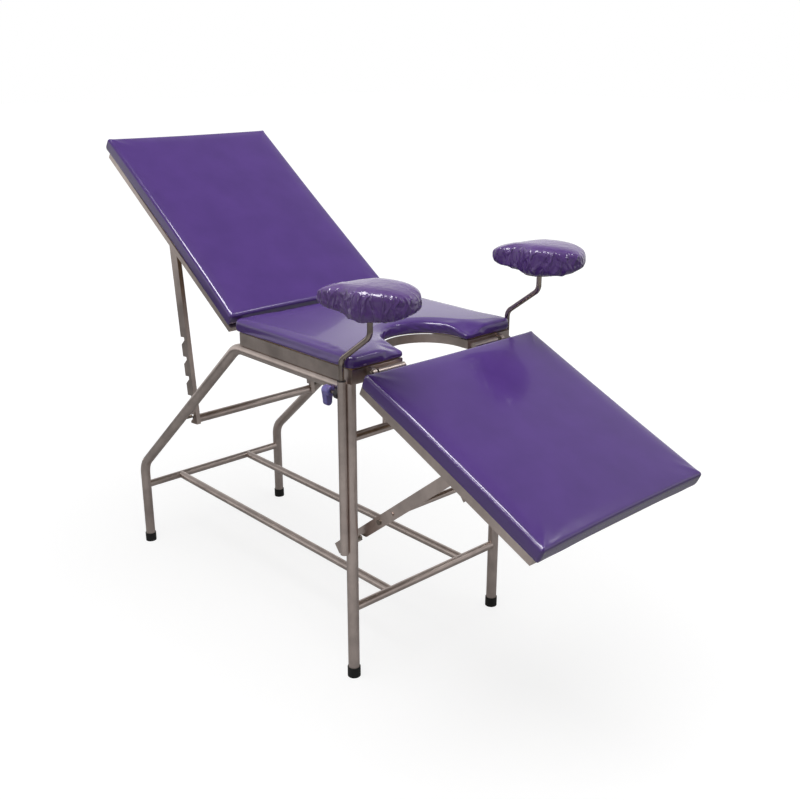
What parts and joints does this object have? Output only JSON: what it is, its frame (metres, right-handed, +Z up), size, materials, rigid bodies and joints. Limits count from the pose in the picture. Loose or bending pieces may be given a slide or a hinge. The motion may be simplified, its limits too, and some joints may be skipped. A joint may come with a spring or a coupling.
{
  "type": "gynaecological examination table",
  "caption": "Gynaecological examination table: padded seat with a front cut-out, a propped backrest, a propped leg section and cranked leg rests on a bent tube frame.",
  "frame": {"origin": "on the floor, under the middle of the table's length and width", "axes": "+Z up, +X towards the foot end, -Y the side nearest the viewer in the picture"},
  "size_m": [1.6536, 0.717, 1.2532],
  "materials": {
    "frame_steel": "satin",
    "rod_steel": "satin",
    "zinc_steel": "dull zinc",
    "black_rubber": "matte",
    "black_plastic": "matte",
    "plywood": "raw",
    "seat_vinyl": "glossy vinyl over foam",
    "pad_vinyl": "glossy vinyl over foam, film wrapped",
    "lever_plastic": "satin"
  },
  "bodies": {
    "base": {"near_side_tube": "frame_steel", "far_side_tube": "frame_steel", "near_front_leg": "frame_steel", "far_front_leg": "frame_steel", "rear_cross_tube": "frame_steel", "front_cross_tube": "frame_steel", "near_floor_tube": "frame_steel", "far_floor_tube": "frame_steel", "upper_cross_tube": "frame_steel", "cross_tube_lug": "frame_steel", "foot_caps": "black_rubber", "rack_pegs": "zinc_steel", "prop_pegs": "zinc_steel", "near_guide_tube": "frame_steel", "far_guide_tube": "frame_steel", "clamp_collars": "black_plastic", "seat_frame": "frame_steel", "cutout_band": "frame_steel", "seat_board": "plywood", "seat_cushion": "seat_vinyl", "back_hinge_lugs": "frame_steel", "back_hinge_bolts": "zinc_steel", "leg_hinge_lugs": "frame_steel", "leg_hinge_bolts": "zinc_steel", "leg_hinge_barrels": "frame_steel"},
    "backrest": {"back_frame": "frame_steel", "back_board": "plywood", "back_cushion": "seat_vinyl", "back_hinge_ears": "frame_steel", "rack_ears": "frame_steel", "rack_bolts": "zinc_steel"},
    "racks": {"near_rack": "frame_steel", "far_rack": "frame_steel", "rack_cross_bar": "frame_steel"},
    "leg_section": {"leg_frame": "frame_steel", "leg_board": "plywood", "leg_cushion": "seat_vinyl", "leg_hinge_ears": "frame_steel", "prop_ears": "frame_steel", "prop_bolts": "zinc_steel"},
    "props": {"near_prop": "frame_steel", "far_prop": "frame_steel", "prop_cross_rod": "frame_steel", "prop_rivets": "zinc_steel"},
    "near_bush_body": {"near_bush": "black_plastic"},
    "near_rod_body": {"near_rod": "rod_steel"},
    "near_pad_body": {"near_pad_socket": "zinc_steel", "near_pad": "pad_vinyl"},
    "near_clamp": {"near_clamp_screw": "zinc_steel", "near_clamp_lever": "lever_plastic"},
    "far_bush_body": {"far_bush": "black_plastic"},
    "far_rod_body": {"far_rod": "rod_steel"},
    "far_pad_body": {"far_pad_socket": "zinc_steel", "far_pad": "pad_vinyl"},
    "far_clamp": {"far_clamp_screw": "zinc_steel", "far_clamp_lever": "lever_plastic"}
  },
  "joints": [
    {"name": "backrest_hinge", "type": "hinge", "parent": "base", "child": "backrest", "pos_m": [-0.2209, 0, 0.7968], "axis": [0, 1, 0], "range_deg": [-34.8, 0]},
    {"name": "rack_hinge", "type": "hinge", "parent": "backrest", "child": "racks", "pos_m": [-0.58413, 0, 1.03464], "axis": [0, 1, 0], "range_deg": [0, 18]},
    {"name": "leg_section_hinge", "type": "hinge", "parent": "base", "child": "leg_section", "pos_m": [0.2671, 0, 0.7968], "axis": [0, 1, 0], "range_deg": [-17.7, 24]},
    {"name": "prop_hinge", "type": "hinge", "parent": "leg_section", "child": "props", "pos_m": [0.55947, 0, 0.64958], "axis": [0, 1, 0], "range_deg": [-16.4, 12.1]},
    {"name": "near_rest_turn", "type": "hinge", "parent": "base", "child": "near_bush_body", "pos_m": [0.2331, -0.2783, 0.783], "axis": [0, 0, 1], "range_deg": [-110, 0]},
    {"name": "near_rest_height", "type": "slide", "parent": "near_bush_body", "child": "near_rod_body", "axis": [0, 0, 1], "range_m": [-0.02, 0.15]},
    {"name": "near_pad_swivel", "type": "hinge", "parent": "near_rod_body", "child": "near_pad_body", "pos_m": [0.3331, -0.2783, 0.948], "axis": [0, 0, 1], "range_deg": [-60, 60]},
    {"name": "near_clamp_turn", "type": "hinge", "parent": "base", "child": "near_clamp", "pos_m": [0.2131, -0.2783, 0.7495], "axis": [-1, 0, 0], "range_deg": [0, 150]},
    {"name": "far_rest_turn", "type": "hinge", "parent": "base", "child": "far_bush_body", "pos_m": [0.2331, 0.2783, 0.783], "axis": [0, 0, 1], "range_deg": [0, 110]},
    {"name": "far_rest_height", "type": "slide", "parent": "far_bush_body", "child": "far_rod_body", "axis": [0, 0, 1], "range_m": [-0.038, 0.132]},
    {"name": "far_pad_swivel", "type": "hinge", "parent": "far_rod_body", "child": "far_pad_body", "pos_m": [0.3331, 0.2783, 0.966], "axis": [0, 0, 1], "range_deg": [-60, 60]},
    {"name": "far_clamp_turn", "type": "hinge", "parent": "base", "child": "far_clamp", "pos_m": [0.2131, 0.2783, 0.7495], "axis": [1, 0, 0], "range_deg": [0, 150]}
  ],
  "couplings": [
    {"joint": "rack_hinge", "follows": "backrest_hinge", "ratio": -0.514},
    {"joint": "prop_hinge", "follows": "leg_section_hinge", "ratio": -0.68}
  ]
}
